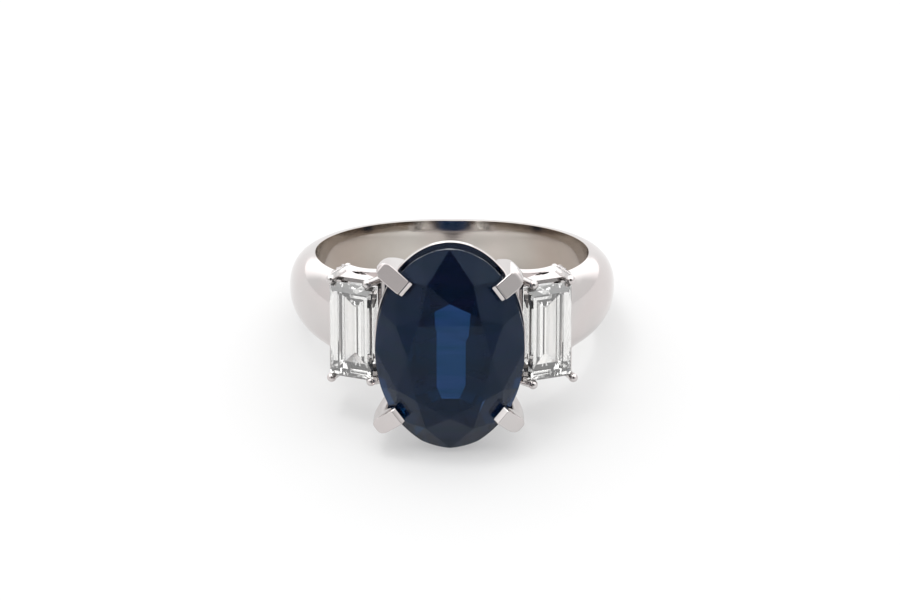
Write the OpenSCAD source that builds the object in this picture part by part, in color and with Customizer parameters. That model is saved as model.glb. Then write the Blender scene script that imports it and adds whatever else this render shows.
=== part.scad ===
// Three stone ring in platinum: an oval sapphire in four flat claws between two step-cut diamonds.
// Modelled about the bore with the head toward -Y, then laid on its side as it rests on a table.
// Millimetres. The stones are loose solids that clear the metal by a few hundredths.

/* [Shank] */
// Inside diameter, which sets the finger size
inner_diameter = 17.0; // [14:0.1:22]
// Radius to the crest of the domed shank
crest_radius = 10.2; // [9.2:0.05:13]
// Width of the shank beside the head
shoulder_width = 5.08; // [3:0.02:8]
// Width of the shank half way round
side_width = 4.33; // [2:0.01:8]
// Width of the shank at the back
back_width = 2.70; // [1.5:0.02:8]
// Exponent of the taper from the side to the back, where 1 is a straight taper
taper_power = 1.35; // [1:0.05:3]
// Exponent of the domed section, where 2 is a plain ellipse
dome_exponent = 2.2; // [2:0.05:4]
// Angle from the head at which the shank's edges start to flare out to the gallery
flare_angle = 58; // [52:0.5:70]

/* [Sapphire] */
// Width of the oval stone across the finger's top
oval_width = 9.0; // [6:0.05:12]
// Length of the oval stone along the finger's axis
oval_length = 12.66; // [8:0.02:16]
// Height of the stone's girdle above the middle of the bore
girdle_height = 12.2; // [11:0.05:15]
// Crown height above the girdle's middle
crown_height = 1.55; // [0.8:0.05:2.5]
// Pavilion depth below the girdle's middle
pavilion_depth = 3.0; // [2:0.05:3.4]
// Slope of the facet that lifts the keel's upper end
keel_lift = 18.5; // [5:0.5:30]
// Length of that facet, measured level
keel_lift_length = 1.9; // [0.5:0.1:3]

/* [Centre setting] */
// Width of a claw
claw_width = 1.1; // [0.6:0.05:1.6]
// Width of the flat oval rail under the girdle
rail_width = 0.6; // [0.3:0.05:1]
// Thickness of that rail
rail_thickness = 0.35; // [0.25:0.05:1]
// Height of the rail's top face above the middle of the bore
rail_top = 10.85; // [10:0.05:11.5]

/* [Diamonds] */
// Width of each step-cut stone
step_width = 3.2; // [2:0.05:4]
// Length of each step-cut stone
step_length = 6.04; // [4:0.02:7]
// Distance of each diamond's middle from the ring's centre plane
step_offset = 5.88; // [5:0.02:7]
// Height of each diamond's girdle above the middle of the bore
step_height = 9.0; // [8:0.05:10]
// Tilt of each diamond's face away from the head's
step_tilt = 24.5; // [15:0.5:35]

/* [Side settings] */
// Thickness of the walls under the diamonds
wall = 0.27; // [0.2:0.01:0.5]
// Depth of the walls' top edge below the diamonds' girdle
wall_drop = 0.55; // [0.3:0.05:1]
// Diameter of the small bead claws
bead_diameter = 0.58; // [0.4:0.02:0.9]
// Radial thickness of the gallery rails at finger level
gallery_thickness = 0.55; // [0.4:0.05:1]

/* [Hidden] */
bore_r = inner_diameter / 2;
overcut = 0.3;             // how far the metal is carried inside the bore before it is cut
dome_base = bore_r - 0.06; // the dome starts a little inside the bore, so the cut is clean
dome = crest_radius - dome_base;
shank_steps = 88;
dome_steps = 16;
oval_a = oval_width / 2;
oval_b = oval_length / 2;
girdle_half = 0.06;
seat_gap = 0.03;
claw_gap = 0.045;          // the sapphire's facets slope, so its seat is cut a little larger
gallery_r = bore_r + gallery_thickness;
rail_a = oval_a + 0.08;    // the oval rail shows just outside the girdle
rail_b = oval_b + 0.02;

// The point on the girdle that each centre claw crosses, and the claw's side outline as
// [out from the girdle, above the girdle's middle]: its back from the top down, then its front.
claw_foot = [3.37, 4.19];
claw_back = [
  [0.96, 0.51], [1.05, 0.42], [1.10, 0.28], [1.12, 0.08], [1.11, -0.20], [1.06, -0.60],
  [0.97, -1.00], [0.74, -1.80], [0.36, -2.70], [-0.20, -3.70]
];
claw_front = [
  [-1.05, -3.60], [-0.58, -2.85], [-0.28, -2.05], [-0.12, -1.40], [0.00, -0.60], [0.04, -0.16],
  [0.04, 0.16]
];
// Half of the claw's outline seen from above the stone, as [out from the girdle, half width].
claw_plan = [
  [-1.6, 0.50], [0.50, 0.55], [0.67, 0.53], [0.82, 0.475], [0.95, 0.39], [1.05, 0.275],
  [1.12, 0.14]
];
claw_scale = claw_width / 1.1;
// The four claws as made by hand: which side, which end, direction from the ring's sides, how much
// further the tip reaches over the stone, how much further out the bend stands, how far the top
// leans sideways, the height of the file's step before the tip and the fall of the tip's bevel.
claws = [
  [1, 1, 36, 0.03, 0, 0, 0.14, 0.07], [-1, 1, 39, 0.09, 0.30, 0.37, 0.14, 0.07],
  [1, -1, 38, -0.08, 0.12, -0.05, 0.08, 0.17], [-1, -1, 36, -0.18, 0.28, -0.03, 0.02, 0.17]
];

// The sapphire's table as a share of the girdle at each eighth of a turn.
table_shares = [0.56, 0.57, 0.54, 0.55, 0.56, 0.62, 0.61, 0.62];
corner_height = 0.66;      // where neighbouring kites part, as a share of the crown
// The pavilion's steps, as [share of the way in to the keel, share of the depth].
pavilion_steps = [[0.33, 0.37], [0.67, 0.70], [1, 1]];
keel_heading = 69.7;       // direction that the keel's lifted end faces
keel_corners = [
  [-0.153, 2.584], [0.093, 2.493], [0.94, 0.45], [0.90, -2.7], [0.56, -3.5], [-0.50, -3.5],
  [-0.81, -2.75], [-0.81, 1.0]
];
// How far past the keel's outline each pavilion facet is ground, so that none runs out to nothing.
keel_trim = [0, 0, 0.03, 0, 0.02, 0.03, 0.02, 0, 0, 0, 0.02, 0.02, 0, 0.02, 0.02, 0];

// The beads of each diamond as [across the stone, along the finger]: outer pair, then inner pair.
right_beads = [[1.48, 3.18], [1.73, -3.18], [-1.0, 3.22], [-1.0, -3.22]];
left_beads = [[1.48, 3.18], [1.48, -3.18], [-1.0, 3.22], [-1.22, -3.02]];
bead_over = [0.13, 0.13, 0.16, 0.16];

// How the ring rests: on the lower end of the oval rail and on the back of the shank.
rest_a = 174;
rest_phi = 70;
rest_y = (dome_base + dome * pow(cos(rest_phi), 2 / dome_exponent)) * cos(180 - rest_a);
rest_z = half_width(rest_a) * pow(sin(rest_phi), 2 / dome_exponent);
rest_tilt = atan((rail_b - rest_z) / (rail_top - rail_thickness + rest_y));
rest_lift = rest_y * sin(rest_tilt) + rest_z * cos(rest_tilt);
front_reach = (girdle_height + crown_height) * cos(rest_tilt)
  + table_shares[6] * oval_b * sin(rest_tilt);
back_reach = crest_radius * cos(rest_tilt) + 0.03;
rest_shift = (front_reach - back_reach) / 2;

function blend(t) = let(u = min(1, max(0, t))) u * u * (3 - 2 * u);
function mix(a, b, t) = a + (b - a) * t;
function around(r, a, z) = [r * sin(a), -r * cos(a), z];

// Half the shank's width at an angle from the head.
function half_width(a) =
  a < 50 ? shoulder_width / 2 :
  a < 90 ? mix(shoulder_width, side_width, (a - 50) / 40) / 2 :
  mix(back_width, side_width, pow((180 - a) / 90, taper_power)) / 2;

// Outer edge of the gallery, which swells from the shoulders toward the head's middle.
function rail_edge(x) =
  abs(x) > 6.2 ? mix(2.6, 3.22, blend((7.3 - abs(x)) / 1.1)) :
  3.22 + 1.2 * blend((6.1 - abs(x)) / 6.1);

// How much further out than the dome the shank's inner edge flares at its ends.
function flare(a, r) =
  (3.24 - shoulder_width / 2) * blend((flare_angle - a) / 11) * blend((10 - r) / 1.1);

// Angle of the shank's end, which lies along the diamonds' outer wall.
function end_angle(r) = 49 - 2.6 * (r - bore_r);

function dome_point(phi, a) =
  let(k = 2 / dome_exponent, s = sin(phi) < 0 ? -1 : 1, r = dome_base + dome * pow(abs(cos(phi)), k))
  [r, s * (half_width(a) * pow(abs(sin(phi)), k) + flare(a, r) * pow(abs(sin(phi)), 3))];

function shank_section(t) = [
  for (i = [0:dome_steps + 2])
    let(
      phi = i == 0 ? -90 : i > dome_steps + 1 ? 90 : mix(-90, 90, (i - 1) / dome_steps),
      inner = i == 0 || i > dome_steps + 1,
      rough = end_angle(bore_r) + (360 - 2 * end_angle(bore_r)) * t,
      near = min(rough, 360 - rough),
      p = dome_point(phi, near),
      r = inner ? bore_r - overcut : p[0],
      a = end_angle(r) + (360 - 2 * end_angle(r)) * t
    )
    around(r, a, p[1])
];

// Faces of a closed tube of n sections with m points each, whose end centres follow as 2 points.
function tube_faces(n, m) = concat(
  [for (i = [0:n - 2], j = [0:m - 1])
    [i * m + j, (i + 1) * m + (j + 1) % m, (i + 1) * m + j]],
  [for (i = [0:n - 2], j = [0:m - 1])
    [i * m + j, i * m + (j + 1) % m, (i + 1) * m + (j + 1) % m]],
  [for (j = [0:m - 1]) [n * m, (j + 1) % m, j]],
  [for (j = [0:m - 1]) [n * m + 1, (n - 1) * m + j, (n - 1) * m + (j + 1) % m]]
);

function mean_point(pts) = [for (k = [0:2]) [for (p = pts) p[k]] * [for (p = pts) 1] / len(pts)];

module tube(sections) {
  n = len(sections);
  polyhedron(
    points = concat(
      [for (s = sections) each s],
      [mean_point(sections[0]), mean_point(sections[n - 1])]
    ),
    faces = tube_faces(n, len(sections[0]))
  );
}

// The domed, tapering shank, from one diamond's outer wall round the back to the other's.
module shank() {
  tube([for (i = [0:shank_steps]) shank_section(i / shank_steps)]);
}

// The gallery's outline and windows, looking down at the head: [across, along the finger].
gallery_outline = concat(
  [for (x = [-7.1:0.2:7.1]) [x, rail_edge(x)]],
  [for (x = [7.1:-0.2:-7.1]) [x, -rail_edge(x)]]
);
centre_window = concat(
  [for (x = [-3.45:0.15:3.45]) [x, rail_edge(x) - 0.75]],
  [for (x = [3.45:-0.15:-3.45]) [x, 0.75 - rail_edge(x)]]
);

// The thin inner band that carries on from the shank under the head, with a window under each stone.
module gallery() {
  intersection() {
    difference() {
      cylinder(h = 10, r = gallery_r, center = true, $fn = 180);
      cylinder(h = 11, r = bore_r - overcut, center = true, $fn = 180);
    }
    rotate([90, 0, 0])
      linear_extrude(10)
        difference() {
          polygon(gallery_outline);
          polygon(centre_window);
          for (x = [-5.25, 5.25])
            translate([x, 0])
              square([2.1, 4.94], center = true);
        }
  }
}

// A point given in a diamond's own frame: across it, and out along its face's normal.
function step_point(s, n) = [
  step_offset + s * cos(step_tilt) + n * sin(step_tilt),
  -(step_height - s * sin(step_tilt) + n * cos(step_tilt))
];

module rod(from, to, r) {
  d = to - from;
  translate(from)
    rotate([0, acos(d[2] / norm(d)), atan2(d[1], d[0])])
      cylinder(h = norm(d), r = r, $fn = 24);
}

function step_xyz(s, n, z) = [step_point(s, n)[0], step_point(s, n)[1], z];

// The box of thin walls under a diamond, with a lens-shaped slot above the gallery rail.
module side_walls() {
  out = step_width / 2 + 0.35;
  top = -wall_drop;
  low = bore_r + 0.3;
  slot_a = 37;
  slot_r = gallery_r + 0.2;
  for (z = [-3.2, 3.2 - wall])
    translate([0, 0, z])
      linear_extrude(wall)
        difference() {
          polygon(concat(
            [step_point(-1.6, top), step_point(out, top), step_point(out, -2.7)],
            [for (a = [50:-2:26]) [low * sin(a), -low * cos(a)]]
          ));
          translate([slot_r * sin(slot_a), -slot_r * cos(slot_a)])
            rotate([0, 0, slot_a])
              intersection() {
                translate([0, 0.72])
                  circle(r = 0.92, $fn = 64);
                translate([0, -0.72])
                  circle(r = 0.92, $fn = 64);
              }
        }
  translate([0, 0, -3.2])
    linear_extrude(6.4)
      polygon([
        step_point(out - wall, top), step_point(out, top),
        step_point(out, -3), step_point(out - wall, -3)
      ]);
  translate([0, 0, -3.2])
    linear_extrude(6.4)
      polygon([
        step_point(-1.62, top), step_point(-1.35, top),
        step_point(-1.35, -2.2), step_point(-1.62, -2.2)
      ]);
}

// The four small claws of a diamond, each a round post with a bead pressed over a corner.
module bead_claws(beads) {
  r = bead_diameter / 2;
  for (i = [0:3])
    translate(step_xyz(beads[i][0], bead_over[i], beads[i][1]))
      sphere(r = r, $fn = 24);
  for (b = [beads[0], beads[1]])
    rod(step_xyz(b[0], -1.4, 0.98 * b[1]), step_xyz(b[0], 0.06, b[1]), r - 0.03);
  for (b = [beads[2], beads[3]])
    rod([4.15, -8.62, b[1] < 0 ? -3.25 : 3.25], step_xyz(b[0] - 0.03, 0.10, 1.01 * b[1]), r - 0.05);
}

// One diamond's whole setting, on the +X side of the head.
module side_setting(beads) {
  difference() {
    union() {
      side_walls();
      bead_claws(beads);
    }
    step_cut(seat_gap);
  }
}

// The flat oval rail under the sapphire's girdle.
module oval_rail() {
  translate([0, -rail_top, 0])
    rotate([-90, 0, 0])
      linear_extrude(rail_thickness)
        difference() {
          polygon([for (i = [0:71]) [rail_a * cos(5 * i), rail_b * sin(5 * i)]]);
          polygon([for (i = [0:71])
            [(rail_a - rail_width) * cos(5 * i), (rail_b - rail_width) * sin(5 * i)]]);
        }
}

// One flat claw: a broad strip that stands outside the girdle and folds over the stone.
module centre_claw(c) {
  reach = c[3];
  stand = c[4];
  end_u = -0.69 - reach;
  crest = 1.07 + 0.31 * reach;
  back = [for (p = claw_back) [p[0] + stand * blend((p[1] + 2) / 2), p[1]]];
  tip = [
    [end_u + 0.03, 0.59 + 0.62 * reach], [end_u, crest - c[6] - c[7]],
    [end_u + 0.27, crest - c[6]], [end_u + 0.35, crest]
  ];
  plan = [for (p = claw_plan) [p[0] + (p[0] > 0 ? stand : 0), p[1] * claw_scale]];
  mirror([c[0] < 0 ? 1 : 0, 0, 0])
    mirror([0, 0, c[1] < 0 ? 1 : 0])
      translate([claw_foot[0], -girdle_height, claw_foot[1]])
        rotate([0, -c[2], 0])
          translate([0, 3.7, 0])
            rotate([-asin(c[5] / 4.2), 0, 0])
              translate([0, -3.7, 0])
                intersection() {
                  linear_extrude(claw_width + 0.1, center = true)
                    polygon([for (p = concat(tip, back, claw_front)) [p[0], -p[1]]]);
                  translate([0, 5, 0])
                    rotate([90, 0, 0])
                      linear_extrude(10)
                        polygon(concat(
                          [for (p = plan) p],
                          [for (i = [len(plan) - 1:-1:0]) [plan[i][0], -plan[i][1]]]
                        ));
                }
}

// The four claws with the sapphire's seat cut in them, a little larger than the stone.
module centre_claws() {
  difference() {
    for (c = claws)
      centre_claw(c);
    translate([0, -girdle_height, 0])
      scale([1 + claw_gap / oval_a, 1 + claw_gap / crown_height, 1 + claw_gap / oval_b])
        translate([0, girdle_height, 0])
          oval_cut();
  }
}

module mounting_about_bore() {
  difference() {
    union() {
      shank();
      gallery();
      side_setting(right_beads);
      mirror([1, 0, 0])
        side_setting(left_beads);
      oval_rail();
      centre_claws();
    }
    cylinder(h = 40, r = bore_r, center = true, $fn = 180);
  }
}

// An oval point of the sapphire: a share of the girdle's size, an angle and a height.
function oval_point(k, a, h) = [k * oval_a * cos(a), -girdle_height - h, k * oval_b * sin(a)];

// How fast a kite facet leans in above the girdle, as a share of the girdle a millimetre up.
function kite_lean(i) = (1 - table_shares[i % 8]) / (crown_height - girdle_half);

// Where two neighbouring lines cross: each is [direction, reach from the middle].
function crossing(p, q) = let(det = sin(q[0] - p[0])) [
  (p[1] * sin(q[0]) - q[1] * sin(p[0])) / det,
  (q[1] * cos(p[0]) - p[1] * cos(q[0])) / det
];

// The corner where kite facets i and i + 1 part from each other.
function kite_corner(i) =
  let(
    up = (crown_height - girdle_half) * corner_height,
    c = crossing([45 * i, 1 - kite_lean(i) * up], [45 * i + 45, 1 - kite_lean(i + 1) * up])
  )
  [oval_a * c[0], -girdle_height - girdle_half - up, oval_b * c[1]];

// The direction that pavilion facet i faces, and how far its lower edges lie from the middle.
function facet_heading(i) = i % 16 == 3 ? keel_heading : 22.5 * (i % 16);
function keel_reach(h) = max([for (p = keel_corners) p[0] * cos(h) + p[1] * sin(h)]);
function facet_reach(i, step) =
  let(h = facet_heading(i), share = abs(sin(h)) > 0.9 ? step[1] : step[0])
  mix(norm([oval_a * cos(h), oval_b * sin(h)]), keel_reach(h) - keel_trim[i % 16], share);

// One level of the pavilion: a corner between each two neighbouring facets.
function pavilion_level(step) = [
  for (i = [0:15])
    let(
      c = crossing(
        [facet_heading(i), facet_reach(i, step)], [facet_heading(i + 1), facet_reach(i + 1, step)]
      )
    )
    [c[0], -girdle_height + mix(girdle_half, pavilion_depth, step[1]), c[1]]
];

// The sapphire: a kite-facetted crown over a stepped pavilion that ends in a flat keel, whose
// upper end is lifted by one sloped facet.
module oval_cut() {
  pts = concat(
    [for (i = [0:7]) oval_point(table_shares[i], 45 * i, crown_height)],
    [for (i = [0:7]) kite_corner(i)],
    [for (i = [0:31]) oval_point(1, 11.25 * i, girdle_half)],
    [for (i = [0:31]) oval_point(1, 11.25 * i, -girdle_half)],
    pavilion_level(pavilion_steps[0]),
    pavilion_level(pavilion_steps[1]),
    pavilion_level(pavilion_steps[2])
  );
  g = 16;
  b = 48;
  q = 80;
  u = 96;
  k = 112;
  difference() {
    polyhedron(points = pts, faces = concat(
      [[for (i = [7:-1:0]) i]],
      [for (i = [0:7]) [i, (i + 1) % 8, 8 + i]],
      [for (i = [0:7]) [i, 8 + i, g + 4 * i]],
      [for (i = [0:7]) [i, g + 4 * i, 8 + (i + 7) % 8]],
      [for (i = [0:7], j = [0:3]) [8 + i, g + (4 * i + j + 1) % 32, g + 4 * i + j]],
      [for (i = [0:31]) [g + i, g + (i + 1) % 32, b + (i + 1) % 32]],
      [for (i = [0:31]) [g + i, b + (i + 1) % 32, b + i]],
      [for (i = [0:15]) [b + 2 * i, b + 2 * i + 1, q + i]],
      [for (i = [0:15]) [b + 2 * i + 1, b + (2 * i + 2) % 32, q + i]],
      [for (i = [0:15]) [b + (2 * i + 2) % 32, q + (i + 1) % 16, q + i]],
      [for (i = [0:15]) [q + i, q + (i + 1) % 16, u + (i + 1) % 16]],
      [for (i = [0:15]) [q + i, u + (i + 1) % 16, u + i]],
      [for (i = [0:15]) [u + i, u + (i + 1) % 16, k + (i + 1) % 16]],
      [for (i = [0:15]) [u + i, k + (i + 1) % 16, k + i]],
      [[for (i = [0:15]) k + i]]
    ));
    rotate([0, -keel_heading, 0])
      translate([keel_reach(keel_heading) - keel_lift_length, pavilion_depth - girdle_height, 0])
        rotate([0, 0, -keel_lift])
          translate([-1, 0, -5])
            cube([8, 4, 10]);
  }
}

// One level of a step-cut stone, as [half width, half length, height].
function step_level(l, grow) = [
  for (c = [[1, 1], [-1, 1], [-1, -1], [1, -1]])
    step_xyz(c[0] * (l[0] + grow), l[2], c[1] * (l[1] + grow))
];

// A step-cut diamond on the +X side, grown by a little when it is used to cut its seat.
module step_cut(grow = 0) {
  w = step_width / 2;
  l = step_length / 2;
  levels = [
    [w - 0.46, l - 0.46, 0.46 + grow], [w - 0.20, l - 0.20, 0.27 + grow], [w, l, 0.05 + grow],
    [w, l, -0.05 - grow], [w - 0.22, l - 0.22, -0.40 - grow], [w - 0.52, l - 0.52, -0.76 - grow],
    [w - 0.95, l - 0.95, -1.13 - grow], [w - 1.54, l - 1.54, -1.48 - grow]
  ];
  tube([for (v = levels) step_level(v, grow)]);
}

module at_rest() {
  translate([0, rest_shift, rest_lift])
    rotate([-rest_tilt, 0, 0])
      children();
}

module mounting() {
  color([0.82, 0.82, 0.84])
    at_rest()
      mounting_about_bore();
}

module sapphire() {
  color([0.08, 0.14, 0.36])
    at_rest()
      oval_cut();
}

module diamond_left() {
  color([0.88, 0.92, 0.95])
    at_rest()
      mirror([1, 0, 0])
        step_cut();
}

module diamond_right() {
  color([0.88, 0.92, 0.95])
    at_rest()
      step_cut();
}

mounting();
sapphire();
diamond_left();
diamond_right();
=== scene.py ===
import math

import bmesh
import bpy
from mathutils import Matrix, Vector
from mathutils.geometry import tessellate_polygon


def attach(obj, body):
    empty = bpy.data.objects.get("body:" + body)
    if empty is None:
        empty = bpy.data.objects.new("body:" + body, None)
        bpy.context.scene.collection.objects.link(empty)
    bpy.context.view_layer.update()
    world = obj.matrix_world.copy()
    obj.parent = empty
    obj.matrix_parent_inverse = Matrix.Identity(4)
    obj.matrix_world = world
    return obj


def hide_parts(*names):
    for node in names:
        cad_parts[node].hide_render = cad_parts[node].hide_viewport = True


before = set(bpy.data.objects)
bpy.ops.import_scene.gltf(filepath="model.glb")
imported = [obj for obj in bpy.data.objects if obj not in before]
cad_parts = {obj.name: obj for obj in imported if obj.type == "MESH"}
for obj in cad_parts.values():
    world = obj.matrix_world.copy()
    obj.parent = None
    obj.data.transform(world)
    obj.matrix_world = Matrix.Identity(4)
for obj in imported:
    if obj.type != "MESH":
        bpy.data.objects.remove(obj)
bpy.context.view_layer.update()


# Shank
# The band of the ring: a domed strip of platinum, wide at the shoulders and narrow at the back,
# bent round a mandrel and soldered to the two side settings, then polished on the outside and
# left a little duller inside, where the finger rubs it. Inside, its tone is also painted darker as
# shade, most toward the ring's sides.

MM = 0.001
BORE_RADIUS = 8.5
CREST_RADIUS = 10.2
DOME_POWER = 2.2
REST_TILT = math.radians(14.492790518)
BORE_MIDDLE = Vector((0.0, 2.186679, 3.520227))

SHANK_SIZES = {
    "Stations": 220,
    "Bore radius": BORE_RADIUS,
    "Shoulder width": 5.08,
    "Side width": 4.33,
    "Back width": 2.70,
    "Joint angle": 49.0,
    "Joint slant": 2.6,
    "Shoulder flare": 0.70,
    "Flare power": 3 * DOME_POWER / 2,
    "Taper power": 1.35,
}
SHOULDER_ANGLE, SIDE_ANGLE, BACK_ANGLE, FULL_TURN = 50, 90, 180, 360
FLARE_ANGLES, FLARE_RADII = (58, 47), (10, 8.9)
DOME_STATIONS, BORE_STATIONS = 44, 23
DOME_SUNK = 0.06
EDGE_EASE, EDGE_SHARE = 0.078, 0.68
# How far the bore's inside finish reaches: rougher from wear, and painted darker as shade.
WORN_AND_SHADED_HALF, WORN_AND_SHADED_MARGIN = 2.7, 0.02


def lay_down(point):
    """A point about the finger hole, in mm with the head toward -Y, moved to where the ring lies."""
    x, y, z = point
    c, s = math.cos(REST_TILT), math.sin(REST_TILT)
    return (Vector((x, y * c + z * s, z * c - y * s)) + BORE_MIDDLE) * MM


def stand_up(place):
    """The reverse of lay_down: a place on the lying ring, in mm about the finger hole."""
    x, y, z = place / MM - BORE_MIDDLE
    c, s = math.cos(REST_TILT), math.sin(REST_TILT)
    return Vector((x, y * c - z * s, y * s + z * c))


def between(a, b, t):
    return a + (b - a) * t


def link_mesh(name, points, edges, faces):
    mesh = bpy.data.meshes.new(name)
    mesh.from_pydata(points, edges, faces)
    piece = bpy.data.objects.new(name, mesh)
    bpy.context.scene.collection.objects.link(piece)
    return piece


def mark_edges(shape, sharp):
    """Makes every face smooth and keeps an edge where the surface turns more than sharp degrees."""
    for face in shape.faces:
        face.smooth = True
    for edge in shape.edges:
        edge.smooth = edge.calc_face_angle(0.0) < math.radians(sharp)


def lay_and_smooth(piece, sharp=28.0, merge_mm=1e-4):
    """Lays a piece that was made about the finger hole in its place."""
    shape = bmesh.new()
    shape.from_mesh(piece.data)
    bmesh.ops.remove_doubles(shape, verts=shape.verts, dist=merge_mm)
    for vertex in shape.verts:
        vertex.co = lay_down(vertex.co)
    bmesh.ops.recalc_face_normals(shape, faces=shape.faces)
    mark_edges(shape, sharp)
    shape.to_mesh(piece.data)
    shape.free()


def settle(piece):
    """Turns what a piece's modifiers make into its plain mesh."""
    graph = bpy.context.evaluated_depsgraph_get()
    done = bpy.data.meshes.new_from_object(piece.evaluated_get(graph))
    piece.modifiers.clear()
    piece.data = done


def soften_edges(piece, width_mm, angle=28.0, segments=3):
    """Breaks every sharp edge the way a polishing buff does."""
    bevel = piece.modifiers.new("buffed edges", "BEVEL")
    bevel.width = width_mm * MM
    bevel.segments = segments
    bevel.limit_method = "ANGLE"
    bevel.angle_limit = math.radians(angle)
    bevel.harden_normals = True
    bevel.use_clamp_overlap = True
    settle(piece)


def node_tree(name, sizes):
    """A tree of geometry nodes with a named input for each size."""
    tree = bpy.data.node_groups.new(name, "GeometryNodeTree")
    tree.interface.new_socket("Geometry", in_out="INPUT", socket_type="NodeSocketGeometry")
    tree.interface.new_socket("Geometry", in_out="OUTPUT", socket_type="NodeSocketGeometry")
    for label, value in sizes.items():
        kind = "NodeSocketInt" if isinstance(value, int) else "NodeSocketFloat"
        tree.interface.new_socket(label, in_out="INPUT", socket_type=kind)
    return tree, tree.nodes.new("NodeGroupInput").outputs


def set_inputs(tree, node, inputs):
    """Sets a node's inputs. Each is a number, a vector, a colour or another node's output."""
    for label, value in inputs.items():
        if isinstance(value, bpy.types.NodeSocket):
            tree.links.new(value, node.inputs[label])
        else:
            node.inputs[label].default_value = value


def place_node(tree, kind, inputs=None, **settings):
    """Adds a node to a tree of geometry or of a material, and gives its outputs."""
    node = tree.nodes.new(kind)
    for label, value in settings.items():
        setattr(node, label, value)
    set_inputs(tree, node, inputs or {})
    return node.outputs


def calc(tree, operation, first, second=0.0):
    return place_node(tree, "ShaderNodeMath", {0: first, 1: second}, operation=operation)[0]


def map_range(tree, value, start, stop, low, high, kind="LINEAR"):
    sizes = {"Value": value, "From Min": start, "From Max": stop, "To Min": low, "To Max": high}
    return place_node(tree, "ShaderNodeMapRange", sizes, interpolation_type=kind)["Result"]


def close_tree(tree, geometry, material):
    """Every tree ends the same way: real geometry, with its finish on it."""
    real = place_node(tree, "GeometryNodeRealizeInstances", {"Geometry": geometry})["Geometry"]
    done = place_node(tree, "GeometryNodeSetMaterial", {"Geometry": real, "Material": material})["Geometry"]
    place_node(tree, "NodeGroupOutput", {"Geometry": done})


def run_tree(piece, tree, sizes):
    modifier = piece.modifiers.new(tree.name, "NODES")
    modifier.node_group = tree
    for item in tree.interface.items_tree:
        if item.name in sizes:
            modifier[item.identifier] = sizes[item.name]
    settle(piece)


def new_material(name):
    material = bpy.data.materials.new(name)
    material.use_nodes = True
    return material, material.node_tree, material.node_tree.nodes["Principled BSDF"]


def blend_colours(tree, share, first, second, blend="MIX"):
    inputs = {"Factor": share, "A": first, "B": second}
    return place_node(tree, "ShaderNodeMix", inputs, data_type="RGBA", blend_type=blend)["Result"]


def noise(tree, place, scale, detail, **others):
    inputs = {"Vector": place, "Scale": scale, "Detail": detail, **others}
    return place_node(tree, "ShaderNodeTexNoise", inputs)["Fac"]


def raise_bump(tree, height, depth_mm, under=None):
    """Bump of a depth in mm, laid over the bump under it."""
    inputs = {"Strength": 1.0, "Distance": depth_mm * MM, "Height": height}
    if under is not None:
        inputs["Normal"] = under
    return place_node(tree, "ShaderNodeBump", inputs)["Normal"]


def platinum(name, tone, shade, rough, rough_worn, ripple, scratch, pit_depth, painted_side_shade):
    """Polished platinum: two close tones, a cloudy polish, fine buffing lines and a few pits.

    Depths in mm: ripple of the slow swells, scratch of the buffing lines, pit_depth of the pits.
    The tint toward the ring's two sides is painted shade: it darkens the metal there by place.
    """
    material, tree, shader = new_material(name)
    place = place_node(tree, "ShaderNodeTexCoord")["Object"]
    cloud = noise(tree, place, 420.0, 4.0, Roughness=0.6)
    drift = map_range(tree, noise(tree, place, 260.0, 2.0), 0.40, 0.60, 0, 1)
    # Painted shade: the colour is darkened toward the ring's two sides, by place.
    side_shade_share = calc(tree, "ABSOLUTE", place_node(tree, "ShaderNodeSeparateXYZ", {"Vector": place})["X"])
    side_shade_share = map_range(tree, side_shade_share, 2.5 * MM, 7.0 * MM, 0, 1, "SMOOTHSTEP")
    cool_white = (0.97, 1.0, 1.0, 1)
    colour = blend_colours(tree, cloud, (*tone, 1), (*shade, 1))
    colour = blend_colours(tree, drift, colour, cool_white, "MULTIPLY")
    colour = blend_colours(tree, side_shade_share, colour, (*painted_side_shade, 1), "MULTIPLY")

    along_buff = {"Vector": place, "Rotation": (0.2, 0.5, 0.3), "Scale": (900.0, 4500.0, 9000.0)}
    buffed = noise(tree, place_node(tree, "ShaderNodeMapping", along_buff)["Vector"], 1.0, 2.0)
    pits = place_node(tree, "ShaderNodeTexVoronoi", {"Vector": place, "Scale": 520.0})["Distance"]
    bump = raise_bump(tree, noise(tree, place, 330.0, 1.0), ripple)
    bump = raise_bump(tree, buffed, scratch, bump)
    bump = raise_bump(tree, map_range(tree, pits, 0.0, 0.06, 0, 1), pit_depth, bump)
    wear = map_range(tree, cloud, 0.35, 0.70, rough, rough_worn)
    set_inputs(tree, shader, {"Metallic": 1.0, "Base Color": colour, "Roughness": wear, "Normal": bump})
    return material


def finish_metal(piece, material, node):
    piece.data.materials.clear()
    piece.data.materials.append(material)
    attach(piece, "root")
    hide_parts(node)


polished = platinum(
    "polished platinum", tone=(0.66, 0.615, 0.61), shade=(0.60, 0.55, 0.54), rough=0.06, rough_worn=0.12,
    ripple=0.004, scratch=0.0004, pit_depth=0.02, painted_side_shade=(1.0, 1.0, 1.0))
# The inside finish is rougher from wear. Its darker tone is painted shade for the dim inside of the band.
worn_and_shaded_inside = platinum(
    "platinum rubbed by the finger, painted in shade", tone=(0.61, 0.56, 0.52), shade=(0.52, 0.47, 0.43), rough=0.07,
    rough_worn=0.17, ripple=0.006, scratch=0.0010, pit_depth=0.001, painted_side_shade=(0.74, 0.69, 0.65))


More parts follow.
